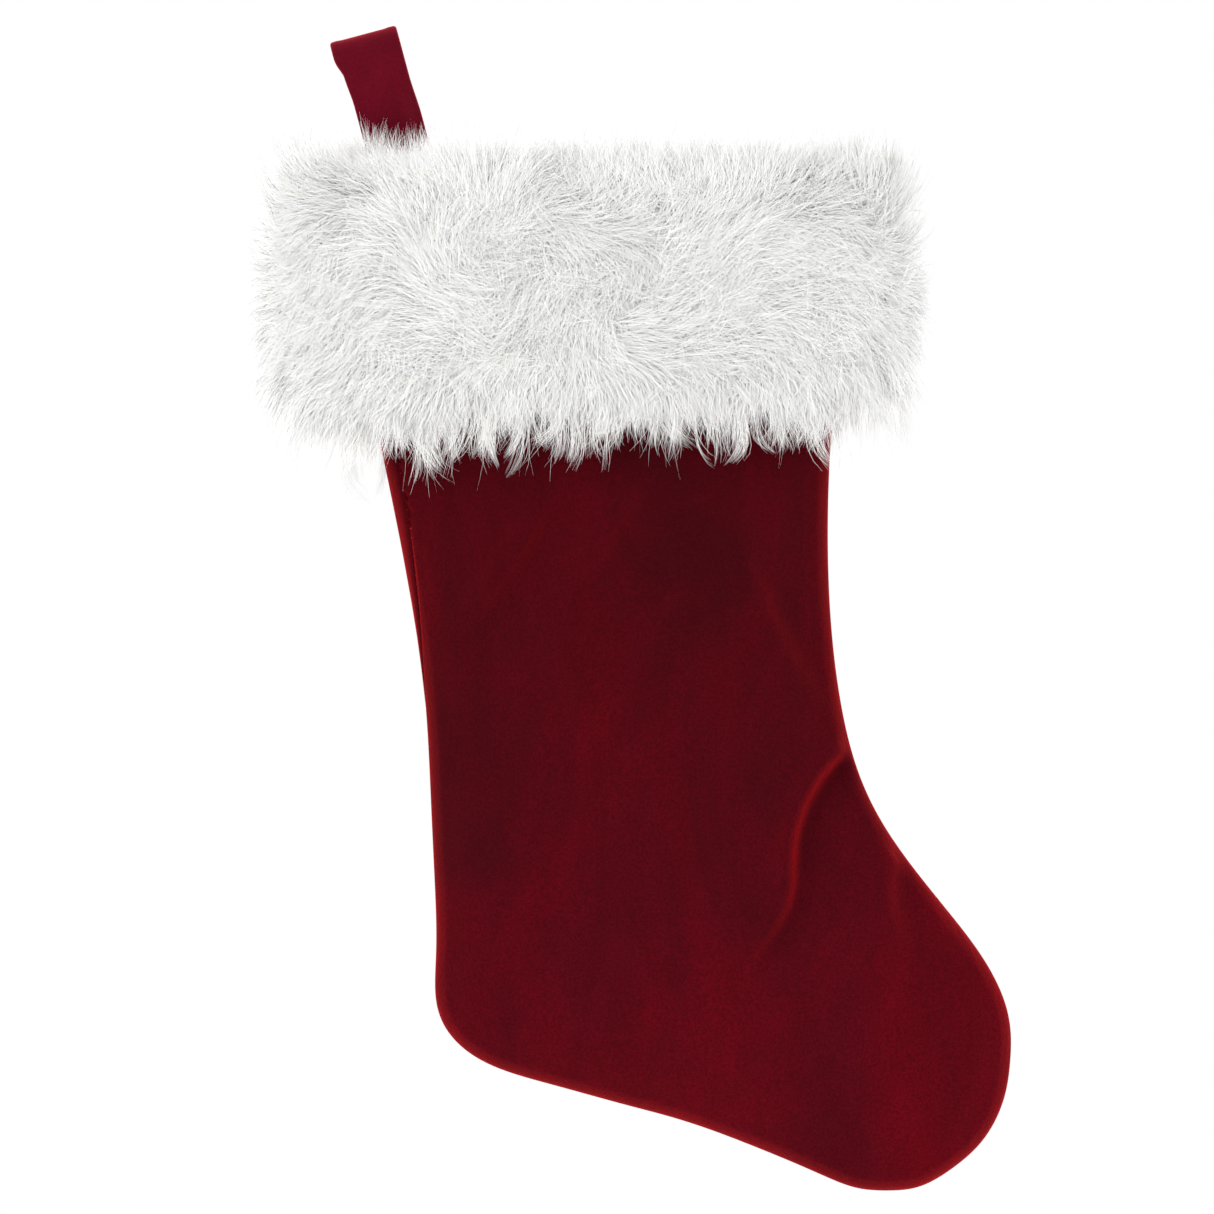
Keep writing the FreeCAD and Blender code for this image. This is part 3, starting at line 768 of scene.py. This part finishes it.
def strand_mesh(name, line, outward, width, tint):
    """Tapered ribbons along centre lines, turned to face outwards, with the pile's soft shading.

    tint is each strand's middle tone, by its number in PILE; roots have the first, a painted shade, and
    tips the last, there a painted highlight.
    """
    count, steps = line.shape[:2]
    along = unit(np.gradient(line, axis=1))
    side = unit(np.cross(along, outward[:, None]))
    face = np.cross(side, along)
    twist = rng.normal(0, 0.5, count)[:, None, None]
    side = side * np.cos(twist) + face * np.sin(twist)
    taper = (1 - np.linspace(0, 1, steps) ** 2.2) * 0.90 + 0.10
    half = (width / 2)[:, None, None] * taper[None, :, None]
    vertices = np.stack([line - side * half, line + side * half], 2).reshape(-1, 3)
    base = (np.arange(count) * steps * 2)[:, None] + (np.arange(steps - 1) * 2)[None]
    quads = np.stack([base, base + 1, base + 3, base + 2], -1).reshape(-1, 4)
    level = np.tile(np.arange(steps - 1), (count, 1))
    # roots take the painted shade tone, tips the painted highlight tone
    slots = np.where(level < 1, 0, np.where(level >= steps - 2, len(PILE) - 1, tint[:, None]))
    piece = add_piece(name, vertices, quads, PILE, slots.ravel())
    level_out = unit(outward * [1, 1, 0.2])
    soft = unit(SOFTNESS * level_out[:, None] + (1 - SOFTNESS) * unit(face))
    piece.data.normals_split_custom_set_from_vertices(np.repeat(soft.reshape(-1, 3), 2, axis=0).tolist())
    return piece


def near_loop(root):
    """True for strands in the path of the loop when it folds."""
    margin, depth = 4 * MM, 8 * MM
    return ((root[:, 0] > LOOP_LOW[0] - margin) & (root[:, 0] < LOOP_HIGH[0] + margin)
            & (root[:, 2] > MOUTH_Z - depth))


WISP_COUNTS = {"front": 2600, "back": 1400}
WISP_LOCKS = 110
WISP_HALF = 19  # how far to each side of the loop's foot they stand, in mm
WISP_REACH = (12, 30)  # their shortest and longest reach in mm


def make_wisps(name, side, count):
    """Long strands that stand up from the mouth's edge and lie over the foot of the loop.

    side is -1 for the mouth's front edge and 1 for its back edge.
    """
    around = side * np.linspace(0.02, math.pi - 0.02, 400)
    edge = cuff_surface(around, np.full(len(around), 2 * MM))[:, 0]
    order = np.argsort(edge)
    locks = WISP_LOCKS
    lock_x = rng.uniform(-WISP_HALF, WISP_HALF, locks)
    lock_tilt = 0.020 * lock_x - 0.08 + rng.normal(0, 0.32, locks)
    beside = 0.7 + 0.6 * smoothstep(3, 15, np.abs(lock_x))
    lock_reach = np.minimum(WISP_REACH[0] + rng.gamma(1.8, 4.4, locks) * beside, WISP_REACH[1])
    lock = rng.integers(0, locks, count)
    x = HINGE[0] + (lock_x[lock] + rng.normal(0, 1.6, count)) * MM
    root = cuff_surface(np.interp(x, edge[order], around[order]), rng.uniform(0, 4, count) * MM)
    reach = (lock_reach[lock] * rng.uniform(0.55, 1.05, count)) * MM
    tilt = lock_tilt[lock] + rng.normal(0, 0.18, count)
    bend = rng.normal(0, 0.5, count)
    steps = np.linspace(0, 1, STRAND_STEPS + 1)
    angle = tilt[:, None] + bend[:, None] * steps[None]
    stride = (reach / STRAND_STEPS)[:, None]
    inward = rng.uniform(0.05, 0.45, count)[:, None] * (LOOP_LOW[1] - 3 * MM - root[:, 1:2])
    line = np.stack([x[:, None] + np.cumsum(np.sin(angle), axis=1) * stride,
                     root[:, 1:2] + (inward if side < 0 else 0 * inward) * steps[None],
                     root[:, 2:] + np.cumsum(np.cos(angle), axis=1) * stride], -1)
    leader = np.array([np.flatnonzero(lock == n)[0] if np.any(lock == n) else 0 for n in range(locks)])[lock]
    line = bunch(line, leader, rng.uniform(0.1, 0.6, count))
    outward = np.tile([0.0, side, 0.0], (count, 1))
    width, tint = rng.uniform(0.13, 0.22, count) * MM, rng.integers(1, len(PILE), count)
    return strand_mesh(name, line, outward, width, tint)


def lock_turn(coarse, fine, low, top):
    """Angle by which each strand is turned with its locks, with some stray locks, and less at the hem."""
    count = len(fine)
    turn = 0.34 * rng.normal(0, 1, count)[coarse] + 0.20 * rng.normal(0, 1, count)[fine]
    stray = rng.random(count)[fine] < STRAY_SHARE
    turn[stray] += rng.uniform(-STRAY_TURN, STRAY_TURN, count)[fine][stray]
    turn += 0.35 * rng.normal(0, 1, count)[fine] * top
    return turn * (1 - 0.7 * low)


def strand_lengths(root, theta, drop, fine, low, top, ends):
    """Lengths that are shorter at the top and before the loop, and uneven from lock to lock at the hem."""
    count = len(root)
    lock_length = np.minimum(0.05 + 1.70 * rng.random(count) ** 2, 1.35)[fine]
    length = rng.uniform(*PILE_LENGTH, count) * MM * (1 - 0.20 * top) * (1 - 0.12 * ends * low)
    length *= 1 - low * (1 - lock_length * rng.uniform(0.62, 1.0, count))
    before_loop = (np.abs(root[:, 0] - HINGE[0]) < LOOP_GAP) & (drop < 16 * MM) & (np.sin(theta) < 0)
    length[before_loop] *= LOOP_LENGTH
    return length


def press_down(line, root, theta):
    """Limit softly how far strands stand off the backing: in y everywhere, in x at the cuff's two ends."""
    reach = STAND_OFF * rng.uniform(0.85, 1.15, (len(root), 1, 1))
    off = line[..., :2] - root[:, None, :2]
    pressed = reach * np.tanh(off / reach)
    between_ends = 1 - smoothstep(0.75, 0.95, np.abs(np.cos(theta)))
    pressed[..., 0] += (off - pressed)[..., 0] * between_ends[:, None]
    line[..., :2] = root[:, None, :2] + pressed


def make_pile():
    """All the pile of the cuff, as pieces for its two sides and for the strands beside the loop."""
    count = PILE_COUNT
    theta, drop = sample_roots(count)
    root, outward = cuff_surface(theta, drop), cuff_normal(theta, drop)
    share = drop / FULL_DROP
    low, top = smoothstep(0.80, 1.0, share), 1 - smoothstep(0, 0.12, share)
    ends = smoothstep(0.75, 1.0, np.abs(np.cos(theta)))
    coarse, fine = locks_of(root, COARSE_LOCK), locks_of(root, FINE_LOCK)
    lie, turn = pile_lie(root, outward, drop), lock_turn(coarse, fine, low, top)
    lie = lie * np.cos(turn)[:, None] + np.cross(outward, lie) * np.sin(turn)[:, None]
    length = strand_lengths(root, theta, drop, fine, low, top, ends)
    guard = rng.random(count) < GUARD_SHARE
    length[guard] *= GUARD_EXTRA
    rise = 0.62 + 0.16 * low - 0.30 * top
    lean = 1.36 + 0.12 * low - 0.42 * top - 0.25 * ends * (1 - low)
    lean += 0.10 * field(root, 0.03, 51) + rng.normal(0, 0.13, count)
    pull = np.clip(0.34 + 0.40 * low + rng.normal(0, 0.12, count), 0.05, 0.92)
    pull[guard] *= 0.4
    filler = rng.random(count) < FILLER_SHARE * (1 - low)
    lean[filler] -= rng.uniform(0.25, 0.65, np.sum(filler))
    length[filler] *= FILLER_LENGTH
    pull[filler] *= 0.3
    line = strand_lines(root, outward, lie, length, rise, lean)
    line = bunch(bunch(line, coarse, 0.25 * pull), fine, pull)
    press_down(line, root, theta)
    width = rng.uniform(*STRAND_WIDTH, count) * MM * np.where(guard, 0.8, 1) * (1 - 0.38 * low)
    tint = rng.integers(1, len(PILE), count)
    beside, front = near_loop(root), np.sin(theta) < 0
    groups = {"front": front & ~beside, "back": ~front & ~beside, "loop": beside}
    pieces = {label: [] for label in groups}
    for label, chosen in groups.items():
        indices = np.flatnonzero(chosen)
        for number, part in enumerate(np.array_split(indices, math.ceil(len(indices) / PILE_SPLIT)), 1):
            pieces[label].append(strand_mesh("pile_%s_%d" % (label, number), line[part], outward[part],
                                             width[part], tint[part]))
    for label, side in (("front", -1), ("back", 1)):
        pieces["loop"].append(make_wisps("pile_wisps_" + label, side, WISP_COUNTS[label]))
    for piece in sum(pieces.values(), []):
        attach(piece, "stocking")
    for piece in pieces["loop"]:
        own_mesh(piece)
    return pieces


def make_cuff():
    """Facing, knitted backing, underfur and pile of both halves."""
    facing = make_cuff_cloth("facing", "cuff_lining", KNIT, FACING_GROW, FACING_THICKNESS)
    backing = make_cuff_cloth("fur", "cuff_backing", KNIT, BACKING_GROW, BACKING_THICKNESS)
    pile = make_pile()
    for half in RING_HALVES:
        underfur = cuff_sheet("underfur_" + half, half, underfur_depth, UNDERFUR, UNDERFUR_LUMPS, 300, 90)
        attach(underfur, "stocking")


make_cuff()


# ---- hanging loop

STRIP_WIDTH = 29.6 * MM
STRIP_THICKNESS = 2.2 * MM
EYE_HALF = 4.2 * MM  # half the depth of the loop's eye
TAIL = 15 * MM  # how far the strip's ends reach below the hinge
STRIP_SPACING = 1.5 * MM
ROLL = 4.5 * MM  # how far the strip's toe side rolls back towards its foot


def loop_lean():
    """Lean of the loop towards the heel, from its foot at the hinge and its top at the origin."""
    return math.atan2(HINGE[0], -HINGE[2])


def strip_path():
    """Middle line of the strip in its own (depth, height) plane: up the back, over, down the front."""
    foot = HINGE[2] / math.cos(loop_lean())
    half = EYE_HALF + STRIP_THICKNESS / 2
    close = STRIP_THICKNESS / 2 + 0.05 * MM
    side = [(close, foot - TAIL), (close, foot), (close, foot + 9 * MM), (0.55 * half, foot + 18 * MM),
            (0.93 * half, -32 * MM), (half, -20 * MM), (half, -EYE_HALF)]
    arc = [(half * math.cos(a), -EYE_HALF + half * math.sin(a)) for a in np.linspace(0, math.pi, 15)[1:-1]]
    front = [(-depth, height) for depth, height in side[::-1]]
    path = resample(np.array(side + arc + front), STRIP_SPACING)
    return resample(smoothed(path, 5), STRIP_SPACING)


def strip_section():
    """Closed cross-section of the strip in (across, thick): two faces between two rounded edges."""
    edge = STRIP_THICKNESS / 2
    middle = STRIP_WIDTH / 2 - edge
    section = []
    for sign in (1, -1):
        for angle in np.linspace(-math.pi / 2, math.pi / 2, 7):
            section.append((sign * (middle + edge * math.cos(angle)), sign * edge * math.sin(angle)))
        for share in np.linspace(0, 1, 14)[1:-1]:
            section.append((sign * middle * (1 - 2 * share), sign * edge))
    return np.array(section)


def drawn_in(across, height):
    """How far in mm the strip's edges are drawn in below its top, more at the heel side."""
    heel_edge = 2.3 * smoothstep(-6 * MM, -15 * MM, height) + 1.0 * smoothstep(-14 * MM, -28 * MM, height)
    toe_edge = 0.8 * smoothstep(-20 * MM, -38 * MM, height)
    place = across / (STRIP_WIDTH / 2)
    return (heel_edge[:, None] * np.maximum(-place, 0)[None] ** 2
            + toe_edge[:, None] * np.maximum(place, 0)[None] ** 2)


def make_loop():
    """The velvet strip, its long edges turned in, folded over the eye."""
    path = strip_path()
    rows = len(path)
    along = unit(np.gradient(path, axis=0))
    outward = np.stack([along[:, 1], -along[:, 0]], -1)
    across, thick = strip_section().T
    columns = len(across)
    height = path[:, 1]
    hems = np.exp(-((np.abs(across) - STRIP_WIDTH / 2 + 2.4 * MM) / (1.6 * MM)) ** 2)
    push = thick[None] * (1 + 0.25 * hems)[None] * np.ones((rows, 1))
    x = across[None] + drawn_in(across, height) * MM
    y = path[:, 0][:, None] + outward[:, 0][:, None] * push
    z = height[:, None] + outward[:, 1][:, None] * push
    points = np.stack([x, y, z], -1).reshape(-1, 3)
    points[:, 1] += 0.5 * MM * field(points * np.array([1, 0, 1]), 0.018, 61)
    roll = smoothstep(3 * MM, 15 * MM, points[:, 0]) * smoothstep(-8 * MM, -36 * MM, points[:, 2])
    points[:, 1] += ROLL * roll ** 2
    lean = loop_lean()
    turned = np.column_stack([points[:, 0] * math.cos(lean) - points[:, 2] * math.sin(lean), points[:, 1],
                              points[:, 0] * math.sin(lean) + points[:, 2] * math.cos(lean)])
    faces = grid_faces(rows, columns, closed=True)
    caps = [np.arange(columns)[None, ::-1], (np.arange(columns) + (rows - 1) * columns)[None]]
    strip = add_piece("loop_strip", turned, [faces, *caps], [LOOP_VELVET])
    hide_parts("hanging_loop", "loop_tail")
    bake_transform(strip)


make_loop()


# ---- stitches

THREADS = {"red_thread": RED_THREAD, "white_thread": WHITE_THREAD}
STITCH_GIRTH = np.array([0.35, 0.95, 1.0, 0.95, 0.35])  # a stitch's girth along it
STITCH_SIDES = 6


def stitch_row(name, starts, ends, radius, thread, node, body="stocking"):
    """Short round-ended threads between pairs of points, as one piece that stands for a CAD node."""
    starts, ends = np.asarray(starts), np.asarray(ends)
    count, steps, sides = len(starts), len(STITCH_GIRTH), STITCH_SIDES
    shares = np.linspace(0, 1, steps)
    line = starts[:, None] + (ends - starts)[:, None] * shares[None, :, None]
    along = unit(ends - starts)
    helper = np.where(np.abs(along[:, 1:2]) > 0.8, [[1.0, 0, 0]], [[0, 1.0, 0]])
    first = unit(np.cross(along, helper))
    second = np.cross(along, first)
    around = np.linspace(0, 2 * math.pi, sides, endpoint=False)[None, :, None]
    ring = first[:, None] * np.cos(around) + second[:, None] * np.sin(around)
    points = line[:, :, None] + ring[:, None] * (radius * STITCH_GIRTH)[None, :, None, None]
    shift = (np.arange(count) * steps * sides)[:, None, None]
    tubes = (grid_faces(steps, sides, closed=True)[None] + shift).reshape(-1, 4)
    caps = np.array([np.arange(sides)[::-1], np.arange(sides) + (steps - 1) * sides])
    caps = (caps[None] + shift).reshape(-1, sides)
    piece = add_piece(name, points.reshape(-1, 3), [tubes, caps], [THREADS[thread]])
    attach(piece, body)
    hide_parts(node)


def seam_stitches(name, front, back, node, every=2, bite=0.9 * MM, sink=0.7 * MM):
    """Ladder of stitches across the seam between two panels, from their first two rings of points."""
    (edge, beside), (_, behind) = PANEL_EDGES[front], PANEL_EDGES[back]
    chosen = np.arange(4, len(SEAM) - 4, every)
    edge, beside, behind = edge[chosen], beside[chosen], behind[chosen]
    out = np.insert(SEAM_OUT[chosen], 1, 0, axis=1)
    starts, ends = (edge + unit(ring - edge) * bite - sink * unit(out) for ring in (beside, behind))
    stitch_row(name, starts, ends, 0.18 * MM, "red_thread", node)


def ring_stitches(name, drop, thread, node, grow=-1.4 * MM, pitch=4 * MM, length=2.6 * MM):
    """Row of running stitches round the cuff's inside at one drop."""
    shares = np.arange(int(CUFF_GIRTH / pitch)) / int(CUFF_GIRTH / pitch)
    level = np.full(len(shares), drop)
    starts = cuff_surface(angle_at(shares), level, grow)
    ends = cuff_surface(angle_at(shares + length / CUFF_GIRTH), level, grow)
    stitch_row(name, starts, ends, 0.22 * MM, thread, node)


def side_stitches():
    """Stitches of the cuff's two side seams, inside the ring."""
    drops = np.arange(8 * MM, FULL_DROP - 6 * MM, 4 * MM)
    middle = np.concatenate([cuff_surface(np.full(len(drops), theta), drops, -0.9 * MM)
                             for theta in (0.0, math.pi)])
    half = np.array([0, 1.0 * MM, 0])
    stitch_row("cuff_side_stitches", middle - half, middle + half, 0.22 * MM, "white_thread",
               "cuff_seam_thread")


def loop_stitches(name, rise, node, body):
    """Row of stitches across both faces of the loop's strip, a height above its hinge."""
    lean = loop_lean()
    side = np.array([math.cos(lean), 0, math.sin(lean)])
    up = np.array([-math.sin(lean), 0, math.cos(lean)])
    foot = np.array([HINGE[0], 0, HINGE[2]]) + up * rise
    starts = []
    for face in (-1, 1):
        for step in np.arange(-11, 10.1, 3.0):
            middle = foot + side * step * MM
            middle[1] = face * (STRIP_THICKNESS + 0.15 * MM)
            starts.append(middle)
    starts = np.array(starts)
    stitch_row(name, starts, starts + side * 2.0 * MM, 0.2 * MM, "red_thread", node, body)


seam_stitches("velvet_seam_stitches", "front", "back", "shell_seam_thread")
seam_stitches("lining_seam_stitches", "satin_front", "satin_back", "lining_seam_thread")
ring_stitches("mouth_stitches", 4 * MM, "red_thread", "mouth_seam_thread")
ring_stitches("hem_stitches", FULL_DROP - 4 * MM, "white_thread", "cuff_hem_thread")
side_stitches()
loop_stitches("loop_closing_stitches", 7 * MM, "loop_closing_thread", "loop")
loop_stitches("loop_bartack_stitches", -7 * MM, "loop_bartack_thread", "stocking")


# ---- stage, light and camera

FLOOR_RADIUS, FLOOR_SIDES = 3.2, 96
FLOOR_DROP = 0.32  # how far under the object the floor lies
AMBIENT = 1.16  # brightness of the surroundings that light the object
LIGHT_SIZE = 0.9
LIGHTS = {  # each light's offset from the object's middle, and its power in watts
    "key": ((-0.8, -1.5, 1.2), 8),
    "back_key": ((0.8, 1.5, 1.2), 8),
    "left_edge": ((-1.7, -0.1, 0.1), 2),
    "right_edge": ((1.7, -0.1, 0.1), 2),
}
VIEW_MARGIN = 1.0394  # height of the picture as a multiple of the object's
VIEW_SHIFT = 0.0108  # how far the camera stands to the left of the object's middle
LENS, SENSOR = 260, 36  # in mm


def make_stage():
    """Plain pale floor well below the toe."""
    around = np.linspace(0, 2 * math.pi, FLOOR_SIDES, endpoint=False)
    ring = np.column_stack([BOX_CENTRE[0] + FLOOR_RADIUS * np.cos(around),
                            BOX_CENTRE[1] + FLOOR_RADIUS * np.sin(around),
                            np.full(FLOOR_SIDES, BOX_LOW[2] - FLOOR_DROP)])
    m = Nodes("floor_paint", Roughness=0.85, Specular_IOR_Level=0.1)
    m.set("Base Color", m.ramp(m.noise(6.0, 2.0), [(0.2, grey(0.93)), (0.8, grey(0.95))]))
    floor = add_piece("floor", ring, np.arange(FLOOR_SIDES)[None], [m.material], smooth=False)


def add_light(name, offset, power):
    """Round area light that points at the object's middle."""
    light = bpy.data.lights.new(name, "AREA")
    light.shape = "DISK"
    light.size = LIGHT_SIZE
    light.energy = power
    lamp = bpy.data.objects.new(name, light)
    lamp.location = BOX_CENTRE + offset
    lamp.rotation_euler = (-Vector(offset)).to_track_quat("-Z", "Y").to_euler()
    bpy.context.scene.collection.objects.link(lamp)


def make_light():
    """Even surroundings seen as pure white, a key light in front and behind, and a weak one at each edge."""
    world = bpy.data.worlds.new("studio")
    world.use_nodes = True
    nodes, link = world.node_tree.nodes, world.node_tree.links.new
    backdrop, around = nodes["Background"], nodes.new("ShaderNodeBackground")
    for background, strength in ((backdrop, 1.0), (around, AMBIENT)):
        background.inputs["Color"].default_value = (1, 1, 1, 1)
        background.inputs["Strength"].default_value = strength
    seen, mix = nodes.new("ShaderNodeLightPath"), nodes.new("ShaderNodeMixShader")
    link(seen.outputs["Is Camera Ray"], mix.inputs["Fac"])
    link(around.outputs[0], mix.inputs[1])
    link(backdrop.outputs[0], mix.inputs[2])
    link(mix.outputs[0], nodes["World Output"].inputs["Surface"])
    bpy.context.scene.world = world
    for name, (offset, power) in LIGHTS.items():
        add_light(name, np.array(offset), power)
    bpy.context.scene.view_settings.view_transform = "Standard"


def make_camera():
    """Long lens straight in front; the object stands a little right of the picture's middle."""
    camera = bpy.data.cameras.new("camera")
    camera.sensor_width = SENSOR
    camera.lens = LENS
    distance = VIEW_MARGIN * (BOX_HIGH[2] - BOX_LOW[2]) * LENS / SENSOR
    body = bpy.data.objects.new("camera", camera)
    body.location = (BOX_CENTRE[0] - VIEW_SHIFT, SEAM_Y - distance, BOX_CENTRE[2])
    body.rotation_euler = (math.pi / 2, 0, 0)
    bpy.context.scene.collection.objects.link(body)
    bpy.context.scene.camera = body


make_stage()
make_light()
make_camera()
